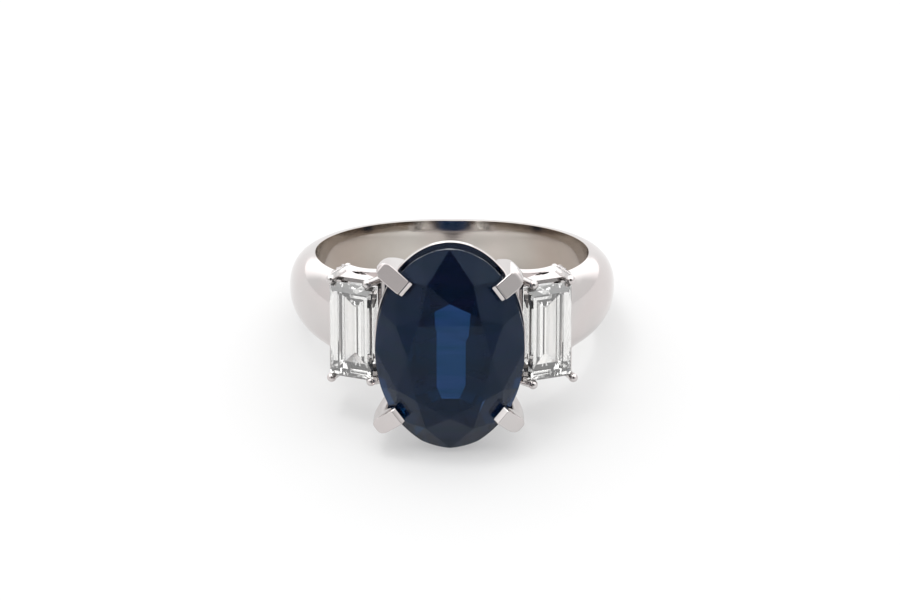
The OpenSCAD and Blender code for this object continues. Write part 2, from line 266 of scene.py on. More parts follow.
def shank_section():
    """The section as a loop: across, the radius in mm; up, the height as a share of the half width."""
    power = 2 / DOME_POWER
    loop = []
    for j in range(DOME_STATIONS + 1):
        phi = math.radians(between(-90, 90, j / DOME_STATIONS))
        dome = between(-DOME_SUNK, CREST_RADIUS - BORE_RADIUS, abs(math.cos(phi)) ** power)
        up = math.copysign(abs(math.sin(phi)) ** power, phi)
        loop.append((BORE_RADIUS + max(EDGE_EASE, dome), up, 0))
    for j in range(BORE_STATIONS):
        up = between(1, -1, (j + 1) / (BORE_STATIONS + 1))
        worn_away = EDGE_EASE * max(0.0, (abs(up) - 1 + EDGE_SHARE) / EDGE_SHARE) ** 2
        loop.append((BORE_RADIUS + worn_away, up, 0))
    return loop


def shank_tree():
    """Sweeps the section round the finger, narrows it toward the back and flares it at the joints."""
    tree, size = node_tree("shank sweep", SHANK_SIZES)
    loop = place_node(tree, "GeometryNodeMeshToCurve", {"Mesh": size["Geometry"]})["Curve"]
    capture = tree.nodes.new("GeometryNodeCaptureAttribute")
    capture.capture_items.new("VECTOR", "place")
    tree.links.new(loop, capture.inputs["Geometry"])
    tree.links.new(place_node(tree, "GeometryNodeInputPosition")["Position"], capture.inputs["place"])
    line = place_node(tree, "GeometryNodeCurvePrimitiveLine", {"End": (0, 0, 1)})["Curve"]
    count = calc(tree, "ADD", size["Stations"], 1)
    line = place_node(tree, "GeometryNodeResampleCurve", {"Curve": line, "Count": count})["Curve"]
    mark = tree.nodes.new("GeometryNodeCaptureAttribute")
    mark.capture_items.new("FLOAT", "share")
    tree.links.new(line, mark.inputs["Geometry"])
    tree.links.new(place_node(tree, "GeometryNodeSplineParameter")["Factor"], mark.inputs["share"])
    profile = capture.outputs["Geometry"]
    swept = {"Curve": mark.outputs["Geometry"], "Profile Curve": profile, "Fill Caps": True}
    skin = place_node(tree, "GeometryNodeCurveToMesh", swept)["Mesh"]

    share = mark.outputs["share"]
    across = place_node(tree, "ShaderNodeSeparateXYZ", {"Vector": capture.outputs["place"]})
    radius, up = across["X"], across["Y"]
    end = calc(tree, "SUBTRACT", radius, size["Bore radius"])
    end = calc(tree, "SUBTRACT", size["Joint angle"], calc(tree, "MULTIPLY", end, size["Joint slant"]))
    reach = calc(tree, "SUBTRACT", FULL_TURN, calc(tree, "MULTIPLY", end, 2))
    angle = calc(tree, "RADIANS", calc(tree, "ADD", end, calc(tree, "MULTIPLY", reach, share)))
    last = calc(tree, "SUBTRACT", FULL_TURN, size["Joint angle"])
    middle_angle = map_range(tree, share, 0, 1, size["Joint angle"], last)
    from_back = calc(tree, "ABSOLUTE", calc(tree, "SUBTRACT", middle_angle, BACK_ANGLE))
    near = calc(tree, "SUBTRACT", BACK_ANGLE, from_back)
    width = map_range(tree, near, SHOULDER_ANGLE, SIDE_ANGLE, size["Shoulder width"], size["Side width"])
    forward = calc(tree, "POWER", map_range(tree, near, SIDE_ANGLE, BACK_ANGLE, 1, 0), size["Taper power"])
    narrow = calc(tree, "MULTIPLY", calc(tree, "SUBTRACT", 1, forward),
                  calc(tree, "SUBTRACT", size["Back width"], size["Side width"]))
    half = calc(tree, "MULTIPLY", calc(tree, "ADD", width, narrow), 0.5)
    flare = map_range(tree, near, *FLARE_ANGLES, 0, size["Shoulder flare"], "SMOOTHSTEP")
    flare = calc(tree, "MULTIPLY", flare, map_range(tree, radius, *FLARE_RADII, 0, 1, "SMOOTHSTEP"))
    bulge = calc(tree, "POWER", calc(tree, "ABSOLUTE", up), size["Flare power"])
    bulge = calc(tree, "MULTIPLY", calc(tree, "MULTIPLY", bulge, flare), calc(tree, "SIGN", up))
    height = calc(tree, "ADD", calc(tree, "MULTIPLY", half, up), bulge)
    x = calc(tree, "MULTIPLY", radius, calc(tree, "SINE", angle))
    y = calc(tree, "MULTIPLY", calc(tree, "MULTIPLY", radius, calc(tree, "COSINE", angle)), -1)
    position = place_node(tree, "ShaderNodeCombineXYZ", {"X": x, "Y": y, "Z": height})["Vector"]
    shaped = place_node(tree, "GeometryNodeSetPosition", {"Geometry": skin, "Position": position})["Geometry"]
    close_tree(tree, shaped, polished)
    return tree


section = shank_section()
shank = link_mesh("shank", section, [(j, (j + 1) % len(section)) for j in range(len(section))], [])
run_tree(shank, shank_tree(), SHANK_SIZES)
lay_and_smooth(shank, sharp=40.0)
soften_edges(shank, 0.09, angle=40.0, segments=4)
finish_metal(shank, polished, "mounting")
shank.data.materials.append(worn_and_shaded_inside)
# The bore's faces take the inside finish: rougher from wear, and painted darker as shade.
for face in shank.data.polygons:
    middle = stand_up(face.center)
    if middle.xy.length < BORE_RADIUS + EDGE_EASE + WORN_AND_SHADED_MARGIN and abs(middle.z) < WORN_AND_SHADED_HALF:
        face.material_index = 1


# Gallery
# A thin platinum band that carries on inside the shank under the stones. It is pierced with one
# big window under the sapphire and a smaller one under each diamond, and swells up and down in
# the middle to carry the claws.

GALLERY_RADIUS, GALLERY_END = 9.05, 7.1
BAND_HALF, BAND_SWELL, SWELL_END = 3.22, 1.2, 6.1
BAND_END_HALF, NARROW_START, NARROW_END = 2.6, 6.2, 7.3
WINDOW_HALF, BAR_HEIGHT = 3.45, 0.75
SIDE_WINDOW, SIDE_WINDOW_EDGE = (4.2, 6.3), 2.47
WINDOW_COLUMNS, POST_COLUMNS, SIDE_COLUMNS, END_COLUMNS = 24, 3, 14, 6


def ease(t):
    t = min(1.0, max(0.0, t))
    return t * t * (3 - 2 * t)


def build_mesh(name, points, faces, sharp=28.0):
    piece = link_mesh(name, points, [], faces)
    lay_and_smooth(piece, sharp)
    return piece


def gallery_edge(x):
    """Half the band's height at a distance from its middle."""
    x = abs(x)
    if x > NARROW_START:
        return between(BAND_END_HALF, BAND_HALF, ease((NARROW_END - x) / (NARROW_END - NARROW_START)))
    return BAND_HALF + BAND_SWELL * ease((SWELL_END - x) / SWELL_END)


def window_edge(x):
    """Half the windows' height at a distance from the band's middle."""
    x = abs(x)
    if x <= WINDOW_HALF:
        return gallery_edge(x) - BAR_HEIGHT
    past_post = min(1.0, (x - WINDOW_HALF) / (SIDE_WINDOW[0] - WINDOW_HALF))
    return between(gallery_edge(WINDOW_HALF) - BAR_HEIGHT, SIDE_WINDOW_EDGE, past_post)


def on_gallery(x, z, radius):
    return (x, -math.sqrt(radius * radius - x * x), z)


half_columns = [WINDOW_HALF * i / WINDOW_COLUMNS for i in range(WINDOW_COLUMNS + 1)]
half_columns += [between(WINDOW_HALF, SIDE_WINDOW[0], i / POST_COLUMNS) for i in range(1, POST_COLUMNS)]
half_columns += [between(*SIDE_WINDOW, i / SIDE_COLUMNS) for i in range(SIDE_COLUMNS + 1)]
half_columns += [between(SIDE_WINDOW[1], GALLERY_END, (i + 1) / END_COLUMNS) for i in range(END_COLUMNS)]
columns = sorted({round(s * x, 6) for x in half_columns for s in (-1, 1)})


def gallery_cell(k, row):
    """Whether there is metal at column k: row 0 is the lower bar, 1 the windows' row, 2 the upper bar."""
    middle = abs(columns[k] + columns[k + 1]) / 2
    open_here = middle < WINDOW_HALF or SIDE_WINDOW[0] < middle < SIDE_WINDOW[1]
    return not (row == 1 and open_here)


gallery_points = []
for x in columns:
    for z in (-gallery_edge(x), -window_edge(x), window_edge(x), gallery_edge(x)):
        gallery_points += [on_gallery(x, z, BORE_RADIUS), on_gallery(x, z, GALLERY_RADIUS)]
gallery_faces = []
for k in range(len(columns) - 1):
    for row in range(3):
        if not gallery_cell(k, row):
            continue
        a, b = (k * 4 + row) * 2, ((k + 1) * 4 + row) * 2
        c, d = b + 2, a + 2
        gallery_faces += [(a, b, c, d), (a + 1, d + 1, c + 1, b + 1)]
        if row == 0 or not gallery_cell(k, row - 1):
            gallery_faces.append((a, a + 1, b + 1, b))
        if row == 2 or not gallery_cell(k, row + 1):
            gallery_faces.append((d, c, c + 1, d + 1))
        if k == 0 or not gallery_cell(k - 1, row):
            gallery_faces.append((a, d, d + 1, a + 1))
        if k == len(columns) - 2 or not gallery_cell(k + 1, row):
            gallery_faces.append((b, b + 1, c + 1, c))
gallery = build_mesh("gallery", gallery_points, gallery_faces, sharp=35.0)
soften_edges(gallery, 0.06, angle=40.0)
finish_metal(gallery, polished, "mounting")


# Oval rail
# A flat oval ring of platinum sheet just under the sapphire's girdle, which ties the four claws
# together. From the front only its rim and its shadowed top face show past the stone.

RAIL_SIZES = {"Half width": 4.58, "Half length": 6.35, "Strip width": 0.6, "Strip thickness": 0.35}
RAIL_TOP = 10.85
RAIL_STATIONS = 144


def rail_tree():
    """A rectangular strip swept round an oval, its outer rim on the oval."""
    tree, size = node_tree("rail sweep", RAIL_SIZES)
    path = place_node(tree, "GeometryNodeMeshToCurve", {"Mesh": size["Geometry"]})["Curve"]
    inset = calc(tree, "MULTIPLY", size["Strip width"], -0.5)
    half_width = calc(tree, "ADD", size["Half width"], inset)
    half_length = calc(tree, "ADD", size["Half length"], inset)
    stretch = {"X": half_width, "Y": half_length, "Z": 1.0}
    stretch = place_node(tree, "ShaderNodeCombineXYZ", stretch)["Vector"]
    path = place_node(tree, "GeometryNodeTransform", {"Geometry": path, "Scale": stretch})["Geometry"]
    path = place_node(tree, "GeometryNodeSetCurveNormal", {"Curve": path}, mode="Z_UP")["Curve"]
    strip = {"Width": size["Strip width"], "Height": size["Strip thickness"]}
    strip = place_node(tree, "GeometryNodeCurvePrimitiveQuadrilateral", strip)["Curve"]
    swept = place_node(tree, "GeometryNodeCurveToMesh", {"Curve": path, "Profile Curve": strip})["Mesh"]
    close_tree(tree, swept, polished)
    return tree


round_path = [2 * math.pi * i / RAIL_STATIONS for i in range(RAIL_STATIONS)]
rail = link_mesh("oval_rail", [(math.cos(a), math.sin(a), 0) for a in round_path],
                 [(i, (i + 1) % RAIL_STATIONS) for i in range(RAIL_STATIONS)], [])
run_tree(rail, rail_tree(), RAIL_SIZES)
for vertex in rail.data.vertices:
    x, z, h = vertex.co
    vertex.co = (x, RAIL_SIZES["Strip thickness"] / 2 - RAIL_TOP - h, z)
lay_and_smooth(rail, sharp=35.0)
soften_edges(rail, 0.05, angle=40.0)
finish_metal(rail, polished, "mounting")


# Centre claws
# Four broad flat claws cut from platinum strip. Each stands on the gallery, leans out past the
# girdle and is bent over the sapphire's crown, and its tip is filed to a short bevel. They were
# made by hand, so no two are the same.

CLAW_FOOT = (3.38, 4.20)
CLAW_WIDTH, CLAW_EDGE = 1.1, 0.06
CLAW_BOTTOM, CLAW_RISE, BEND_START = -3.7, 4.2, -2.0
GIRDLE_HEIGHT = 12.2
CLAW_BACK = [(0.96, 0.51), (1.05, 0.42), (1.10, 0.28), (1.12, 0.08), (1.11, -0.20), (1.06, -0.60),
             (0.97, -1.00), (0.74, -1.80), (0.36, -2.70), (-0.20, -3.70)]
CLAW_FRONT = [(-1.05, -3.60), (-0.58, -2.85), (-0.28, -2.05), (-0.12, -1.40), (0.00, -0.60), (0.04, -0.16)]
GIRDLE_REST = (0.04, 0.16)
CLAW_PLAN = [(0.50, 0.550), (0.67, 0.531), (0.82, 0.476), (0.95, 0.389), (1.05, 0.275), (1.12, 0.142),
             (1.14, 0.0)]
PLAN_MARGIN = 0.015
CLAW_ACROSS = [0.0, 0.14, 0.27, 0.36, 0.43, 0.47]
ROUND_STEPS = 6
TIP_END, TIP_CREST, CREST_RISE = -0.69, 1.07, 0.31
UNDER_TIP_IN, UNDER_TIP_UP, UNDER_TIP_RISE = 0.03, 0.59, 0.62
FILED_LENGTH, NOTCH_LENGTH, TOP_STEPS = 0.27, 0.35, 8
TIP_WIDTH_SHARE, TAPER_END, TAPER_LENGTH = 0.91, -1.6, 2.1


def flowing(line, steps=5):
    """Points along a smooth curve through the given ones."""
    out = []
    last = len(line) - 1
    for i in range(last):
        p0, p1, p2, p3 = (Vector(line[max(0, i - 1)]), Vector(line[i]), Vector(line[i + 1]),
                          Vector(line[min(last, i + 2)]))
        for k in range(steps):
            t = k / steps
            out.append(0.5 * (2 * p1 + (p2 - p0) * t + (2 * p0 - 5 * p1 + 4 * p2 - p3) * t * t
                              + (3 * p1 - p0 - 3 * p2 + p3) * t ** 3))
    return [tuple(p) for p in out] + [tuple(line[last])]


def rounded(outline, radius, steps=4, least_turn=20):
    """A closed outline with its corners rounded off."""
    out = []
    for i, p in enumerate(outline):
        p, before, after = Vector(p), Vector(outline[i - 1]), Vector(outline[(i + 1) % len(outline)])
        turn = (p - before).angle(after - p)
        if turn < math.radians(least_turn):
            out.append(p)
            continue
        cut = min(radius * math.tan(turn / 2), 0.45 * (p - before).length, 0.45 * (after - p).length)
        start, stop = p + (before - p).normalized() * cut, p + (after - p).normalized() * cut
        out += [start.lerp(p, k / steps).lerp(p.lerp(stop, k / steps), k / steps) for k in range(steps + 1)]
    return out


def shrunk(outline, inset):
    """A closed outline, run anticlockwise, with every point moved inward."""
    out = []
    for i, p in enumerate(outline):
        along = (outline[(i + 1) % len(outline)] - p).normalized() + (p - outline[i - 1]).normalized()
        along.normalize()
        out.append(p + Vector((-along.y, along.x)) * inset)
    return out


def held_under(value, limit, blend=0.08):
    """The smaller of two lengths, with the change from one to the other rounded."""
    share = min(1.0, max(0.0, 0.5 + 0.5 * (limit - value) / blend))
    return between(limit, value, share) - blend * share * (1 - share)


def plan_reach(across):
    """How far out the claw's rounded back goes at a distance from its middle line."""
    for (u0, v0), (u1, v1) in zip(CLAW_PLAN, CLAW_PLAN[1:]):
        if v1 <= across <= v0:
            return between(u0, u1, (v0 - across) / (v0 - v1))
    return CLAW_PLAN[0][0]


def claw_outline(reach, stand, notch, slope):
    """The claw seen from its side. It is drawn clockwise and reversed, as shrunk needs it anticlockwise."""
    end, crest = TIP_END - reach, TIP_CREST + CREST_RISE * reach
    back = [(u + stand * ease((v - BEND_START) / -BEND_START), v) for u, v in flowing(CLAW_BACK, 3)]
    tip = [(end + UNDER_TIP_IN, UNDER_TIP_UP + UNDER_TIP_RISE * reach), (end, crest - notch - slope),
           (end + FILED_LENGTH, crest - notch)]
    step = (end + NOTCH_LENGTH, crest)
    if notch:
        tip.append(step)
    top = [tuple(Vector(step).lerp(Vector(back[0]), k / TOP_STEPS)) for k in range(1, TOP_STEPS)]
    outline = tip + top + back + flowing(CLAW_FRONT) + [GIRDLE_REST]
    return list(reversed(rounded(outline, CLAW_EDGE)))


def claw_stations():
    """Where the outline is set across the claw, and how far it is shrunk there to round the edges."""
    stations = [(across, 0.0) for across in CLAW_ACROSS]
    for k in range(1, ROUND_STEPS + 1):
        a = math.radians(90 * k / ROUND_STEPS)
        stations.append((CLAW_WIDTH / 2 - CLAW_EDGE * (1 - math.sin(a)), CLAW_EDGE * (1 - math.cos(a))))
    return [(-across, inset) for across, inset in reversed(stations[1:])] + stations


def make_claw(name, side, end, angle, reach, stand, lean, notch, slope):
    """side is +1 right or -1 left, end is +1 at the ring's upper edge or -1 at the lower one.

    In mm: reach is how much further the tip goes over the stone, stand how much further out the
    bend is, lean how far the top has moved sideways from the foot, notch the little step that the
    file left before the tip and slope the fall of the tip's bevel.
    """
    turn = math.radians(angle)

    def place(out, along, up):
        along += lean * (up - CLAW_BOTTOM) / CLAW_RISE
        x = CLAW_FOOT[0] + out * math.cos(turn) - along * math.sin(turn)
        z = CLAW_FOOT[1] + out * math.sin(turn) + along * math.cos(turn)
        return (side * x, -GIRDLE_HEIGHT - up, end * z)

    outline = claw_outline(reach, stand, notch, slope)
    stations = claw_stations()
    points, faces = [], []
    n = len(outline)
    for across, inset in stations:
        limit = plan_reach(abs(across)) + stand + PLAN_MARGIN
        for p in shrunk(outline, inset):
            narrow = between(TIP_WIDTH_SHARE, 1.0, min(1.0, (p.x - TAPER_END) / TAPER_LENGTH))
            points.append(place(held_under(p.x, limit), across * narrow, p.y))
    for j in range(len(stations) - 1):
        here, there = j * n, (j + 1) * n
        faces += [(here + i, here + (i + 1) % n, there + (i + 1) % n, there + i) for i in range(n)]
    last = (len(stations) - 1) * n
    for triangle in tessellate_polygon([[Vector((p[0], p[1], 0)) for p in outline]]):
        faces += [tuple(triangle), tuple(last + i for i in triangle)]
    finish_metal(build_mesh(name, points, faces), polished, "mounting")


make_claw("claw_upper_right", 1, 1, angle=36.0, reach=0.03, stand=0.0, lean=0.0, notch=0.14, slope=0.07)
make_claw("claw_upper_left", -1, 1, angle=39.0, reach=0.09, stand=0.30, lean=0.37, notch=0.14, slope=0.07)
make_claw("claw_lower_right", 1, -1, angle=38.0, reach=-0.08, stand=0.12, lean=-0.05, notch=0.08, slope=0.17)
make_claw("claw_lower_left", -1, -1, angle=36.0, reach=-0.18, stand=0.28, lean=-0.03, notch=0.0, slope=0.17)


# Side settings
# An open box of thin platinum walls under each diamond, with a lens-shaped piercing in its end
# walls above the gallery. A round wire claw stands at each corner with its end pressed to a bead.

STEP_WIDTH, STEP_LENGTH = 3.2, 6.04
STEP_OFFSET, STEP_HEIGHT, STEP_TILT = 5.88, 9.0, math.radians(24.5)
WALL, WALL_DROP, WALL_HALF = 0.27, 0.55, 3.2
WALL_OUT = STEP_WIDTH / 2 + 0.35
OUTER_WALL_DEPTH, INNER_WALL_DEPTH, INNER_WALL_IN = 3.0, 2.2, -1.62
END_WALL_IN, END_WALL_DEPTH = -1.6, 2.7
FOOT_GAP, FOOT_ANGLES = 0.3, range(50, 24, -2)
LENS_RADIUS, LENS_ANGLE = GALLERY_RADIUS + 0.2, 37
LENS_HALF, LENS_ARC, LENS_CENTRE, LENS_STEPS = 0.573, 0.92, 0.72, 16
LENS_CUT_PAST = 0.3
BEAD_SIZES = {"Bead radius": 0.29, "Wire radius": 0.25, "Wire length": 1.7, "Bead segments": 28}
BEAD_RINGS = 18
RIGHT_BEADS = [(1.48, 3.18), (1.73, -3.18), (-1.0, 3.22), (-1.0, -3.22)]
LEFT_BEADS = [(1.48, 3.18), (1.48, -3.18), (-1.0, 3.22), (-1.22, -3.02)]
OUTER_BEAD_UP, INNER_BEAD_UP = 0.14, 0.17
OUTER_FOOT, OUTER_FOOT_SHARE = -1.4, 0.98
INNER_FOOT = (4.15, -8.62, 3.25)


def on_circle(radius, degrees):
    a = math.radians(degrees)
    return (radius * math.sin(a), -radius * math.cos(a))


def beside(across, out, z):
    """A point in the right diamond's own frame: across it, out along its face's normal, and z."""
    return Vector((STEP_OFFSET + across * math.cos(STEP_TILT) + out * math.sin(STEP_TILT),
                   -(STEP_HEIGHT - across * math.sin(STEP_TILT) + out * math.cos(STEP_TILT)), z))


def wall_corners(*corners):
    return [tuple(beside(across, out, 0).xy) for across, out in corners]


def prism(name, outline, low, high, side):
    """A straight bar from z low to z high with the given outline, mirrored where side is -1."""
    n = len(outline)
    points = [(side * u, v, w) for w in (low, high) for u, v in outline]
    sides = [(i, (i + 1) % n, n + (i + 1) % n, n + i) for i in range(n)]
    return build_mesh(name, points, [list(range(n)), [n + i for i in range(n)]] + sides)


def cut_away(piece, cutter):
    cut = piece.modifiers.new("cut", "BOOLEAN")
    cut.operation = "DIFFERENCE"
    cut.solver = "EXACT"
    cut.object = cutter
    settle(piece)
    bpy.data.objects.remove(cutter)


def sharpen(piece, sharp=28.0, merge=1e-7):
    """Marks the edges that turn sharply, after a cut has made new ones."""
    shape = bmesh.new()
    shape.from_mesh(piece.data)
    bmesh.ops.remove_doubles(shape, verts=shape.verts, dist=merge)
    bmesh.ops.dissolve_degenerate(shape, edges=shape.edges, dist=merge)
    mark_edges(shape, sharp)
    shape.to_mesh(piece.data)
    shape.free()


def lens_outline():
    """The piercing: two arcs that meet in points, turned to lie along the gallery."""
    arc = []
    for k in range(-LENS_STEPS, LENS_STEPS + 1):
        u = LENS_HALF * k / LENS_STEPS
        arc.append((u, math.sqrt(LENS_ARC ** 2 - u ** 2) - LENS_CENTRE))
    arc += [(u, -v) for u, v in reversed(arc[1:-1])]
    middle = on_circle(LENS_RADIUS, LENS_ANGLE)
    c, s = math.cos(math.radians(LENS_ANGLE)), math.sin(math.radians(LENS_ANGLE))
    return [(middle[0] + u * c - v * s, middle[1] + u * s + v * c) for u, v in arc]


def finish_wall(wall):
    soften_edges(wall, 0.03, angle=30.0, segments=2)
    finish_metal(wall, polished, "mounting")


def end_wall(name, side, low, high):
    outline = wall_corners((END_WALL_IN, -WALL_DROP), (WALL_OUT, -WALL_DROP), (WALL_OUT, -END_WALL_DEPTH))
    outline += [on_circle(BORE_RADIUS + FOOT_GAP, a) for a in FOOT_ANGLES]
    wall = prism(name, outline, low, high, side)
    cut_away(wall, prism("slot", lens_outline(), low - LENS_CUT_PAST, high + LENS_CUT_PAST, side))
    sharpen(wall)
    finish_wall(wall)


def side_wall(name, side, near, depth):
    far = near + WALL
    outline = wall_corners((near, -WALL_DROP), (far, -WALL_DROP), (far, -depth), (near, -depth))
    finish_wall(prism(name, outline, -WALL_HALF, WALL_HALF, side))


def bead_tree():
    """One wire with its bead, set at every point of the mesh and turned along that point's wire."""
    tree, size = node_tree("bead claws", BEAD_SIZES)
    wire = {"Vertices": size["Bead segments"], "Radius": size["Wire radius"], "Depth": size["Wire length"]}
    wire = place_node(tree, "GeometryNodeMeshCylinder", wire)["Mesh"]
    drop = calc(tree, "MULTIPLY", size["Wire length"], -0.5)
    drop = place_node(tree, "ShaderNodeCombineXYZ", {"Z": drop})["Vector"]
    wire = place_node(tree, "GeometryNodeTransform", {"Geometry": wire, "Translation": drop})["Geometry"]
    bead = {"Segments": size["Bead segments"], "Rings": BEAD_RINGS, "Radius": size["Bead radius"]}
    bead = place_node(tree, "GeometryNodeMeshUVSphere", bead)["Mesh"]
    union = tree.nodes.new("GeometryNodeMeshBoolean")
    union.operation = "UNION"
    union.solver = "EXACT"
    tree.links.new(wire, union.inputs["Mesh 2"])
    tree.links.new(bead, union.inputs["Mesh 2"])
    along = place_node(tree, "GeometryNodeInputNamedAttribute", {"Name": "along"}, data_type="FLOAT_VECTOR")
    turn = place_node(tree, "FunctionNodeAlignRotationToVector", {"Vector": along["Attribute"]}, axis="Z")
    spread = {"Points": size["Geometry"], "Instance": union.outputs["Mesh"], "Rotation": turn["Rotation"]}
    close_tree(tree, place_node(tree, "GeometryNodeInstanceOnPoints", spread)["Instances"], polished)
    return tree


def bead_ends(across, z):
    """The bead's middle and a point its wire runs toward: outside in the end wall, inside at the gallery."""
    if across > 0:
        return beside(across, OUTER_BEAD_UP, z), beside(across, OUTER_FOOT, OUTER_FOOT_SHARE * z)
    return beside(across, INNER_BEAD_UP, z), Vector((*INNER_FOOT[:2], math.copysign(INNER_FOOT[2], z)))


bead_places, bead_lines = [], []
for side, hand, beads in ((1, "right", RIGHT_BEADS), (-1, "left", LEFT_BEADS)):
    end_wall("end_wall_upper_" + hand, side, WALL_HALF - WALL, WALL_HALF)
    end_wall("end_wall_lower_" + hand, side, -WALL_HALF, WALL - WALL_HALF)
    side_wall("outer_wall_" + hand, side, WALL_OUT - WALL, OUTER_WALL_DEPTH)
    side_wall("inner_wall_" + hand, side, INNER_WALL_IN, INNER_WALL_DEPTH)
    for across, z in beads:
        head, foot = bead_ends(across, z)
        line = (head - foot).normalized()
        bead_places.append((side * head.x, head.y, head.z))
        bead_lines += [side * line.x, line.y, line.z]
bead_claws = link_mesh("bead_claws", bead_places, [], [])
along_wire = bead_claws.data.attributes.new("along", "FLOAT_VECTOR", "POINT")
along_wire.data.foreach_set("vector", bead_lines)
run_tree(bead_claws, bead_tree(), BEAD_SIZES)
lay_and_smooth(bead_claws, sharp=50.0)


# Sapphire
# One deep blue oval sapphire: a crown of kite, star and break facets round the table, a plain
# girdle and a stepped pavilion that ends in a long flat keel. The four claws grip it at the girdle
# and over the crown.

OVAL_HALF = (4.5, 6.33)
GIRDLE, CROWN, PAVILION = 0.06, 1.55, 3.0
SAPPHIRE_ROUGH = (5.5, 4.0, 7.5)
TABLE_SHARES = (0.56, 0.57, 0.54, 0.55, 0.56, 0.62, 0.61, 0.62)
CORNER_HEIGHT = 0.66
GIRDLE_FACETS, PAVILION_SIDES = 96, 16
KEEL_CORNERS = [(-0.153, 2.584), (0.093, 2.493), (0.94, 0.45), (0.90, -2.7), (0.56, -3.5), (-0.50, -3.5),
                (-0.81, -2.75), (-0.81, 1.0)]
KEEL_LIFT, KEEL_LIFT_LENGTH = math.radians(18.5), 1.9
KEEL_SIDE, KEEL_HEADING = 4, math.radians(69.7)
PAVILION_STEPS = [(0.0, 0.0), (0.33, 0.37), (0.67, 0.70), (1.0, 1.0)]
END_FACING = 0.9
FACET_MERGE = 0.004


def start_rough(half_x, half_h, half_z):
    """The rough stone: a plain block to cut, with x and z in the table's plane and h out of it."""
    shape = bmesh.new()
    bmesh.ops.create_cube(shape, size=2.0)
    for vertex in shape.verts:
        vertex.co = (vertex.co.x * half_x, vertex.co.y * half_z, vertex.co.z * half_h)
    return shape


def cut_flat(shape, normal, reach):
    """Grinds one flat facet: what stands past the plane goes, and the cut is closed."""
    size = math.sqrt(sum(c * c for c in normal))
    facing = Vector(normal) / size
    everything = shape.verts[:] + shape.edges[:] + shape.faces[:]
    cut = bmesh.ops.bisect_plane(shape, geom=everything, dist=1e-6, plane_co=facing * (reach / size),
                                 plane_no=facing, clear_outer=True)
    rim = [part for part in cut["geom_cut"] if isinstance(part, bmesh.types.BMEdge)]
    if len(rim) > 2:
        bmesh.ops.edgenet_fill(shape, edges=rim)


def cut_through(shape, p, q, r):
    """A facet through three points, with the middle of the stone behind it."""
    normal = (Vector(q) - Vector(p)).cross(Vector(r) - Vector(p))
    reach = normal.dot(Vector(p))
    cut_flat(shape, normal if reach > 0 else -normal, abs(reach))


def cut_sloped(shape, heading, start, stop):
    """A facet that faces heading, through (reach, height) at its start and at its stop."""
    lean = (stop[0] - start[0]) / (stop[1] - start[1])
    cut_flat(shape, (heading[0], heading[1], -lean), start[0] - lean * start[1])


def finish_stone(name, shape, place, material, node):
    """Sets a cut stone in its seat and gives it its finish."""
    bmesh.ops.remove_doubles(shape, verts=shape.verts, dist=FACET_MERGE)
    bmesh.ops.dissolve_degenerate(shape, edges=shape.edges, dist=1e-5)
    for vertex in shape.verts:
        vertex.co = lay_down(place(*vertex.co))
    shape.normal_update()
    bmesh.ops.recalc_face_normals(shape, faces=shape.faces)
    stone = link_mesh(name, [], [], [])
    shape.to_mesh(stone.data)
    shape.free()
    stone.data.materials.append(material)
    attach(stone, "root")
    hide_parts(node)


def gem_material(name, index, mirror, tint_low, tint_high, haze, density=0.0, absorb=(1, 1, 1)):
    """A clear cut stone with a little haze and faint growth bands.

    density and absorb colour it by depth, tint_low and tint_high at its surface.
    mirror weakens what its outside reflects, and haze is the share of plain scattered colour.
    """
    material, tree, shader = new_material(name)
    place = place_node(tree, "ShaderNodeTexCoord")["Object"]
    bands_turn = (0.0, math.radians(18), 0.0)
    across_bands = {"Vector": place, "Rotation": bands_turn, "Scale": (180.0, 300.0, 1500.0)}
    growth = noise(tree, place_node(tree, "ShaderNodeMapping", across_bands)["Vector"], 1.0, 3.0)
    bands = map_range(tree, growth, 0.38, 0.62, 0, 1)
    tint = blend_colours(tree, bands, (*tint_low, 1), (*tint_high, 1))
    set_inputs(tree, shader, {"Transmission Weight": 1 - haze, "IOR": index, "Roughness": 0.0,
                              "Specular Tint": (*mirror, 1), "Base Color": tint})
    if density:
        depth = {"Color": (*absorb, 1), "Density": density}
        depth = place_node(tree, "ShaderNodeVolumeAbsorption", depth)["Volume"]
        set_inputs(tree, tree.nodes["Material Output"], {"Volume": depth})
    return material


sapphire_blue = gem_material(
    "blue sapphire", index=1.77, mirror=(0.15, 0.205, 0.27), tint_low=(0.14, 0.20, 0.64),
    tint_high=(0.07, 0.175, 0.48), haze=0.025, density=600.0, absorb=(0.09, 0.42, 0.42))


def stretch_round(u, w, h):
    """A point of the round cut that the crown is laid out on, stretched to the oval."""
    return (u * OVAL_HALF[0], w * OVAL_HALF[1], h)


def round_point(reach, degrees, height):
    a = math.radians(degrees)
    return stretch_round(reach * math.cos(a), reach * math.sin(a), height)


def bezel_meeting(i, height):
    """Where two neighbouring kite facets meet at a height, in the round cut."""
    rows, reaches = [], []
    for k in (i, (i + 1) % 8):
        a, lean = math.radians(45 * k), (1 - TABLE_SHARES[k]) / (CROWN - GIRDLE)
        rows.append((math.cos(a), math.sin(a)))
        reaches.append(1 - lean * (height - GIRDLE))
    (a, b), (c, d) = rows
    det = a * d - b * c
    u = (reaches[0] * d - reaches[1] * b) / det
    w = (reaches[1] * a - reaches[0] * c) / det
    return stretch_round(u, w, height)


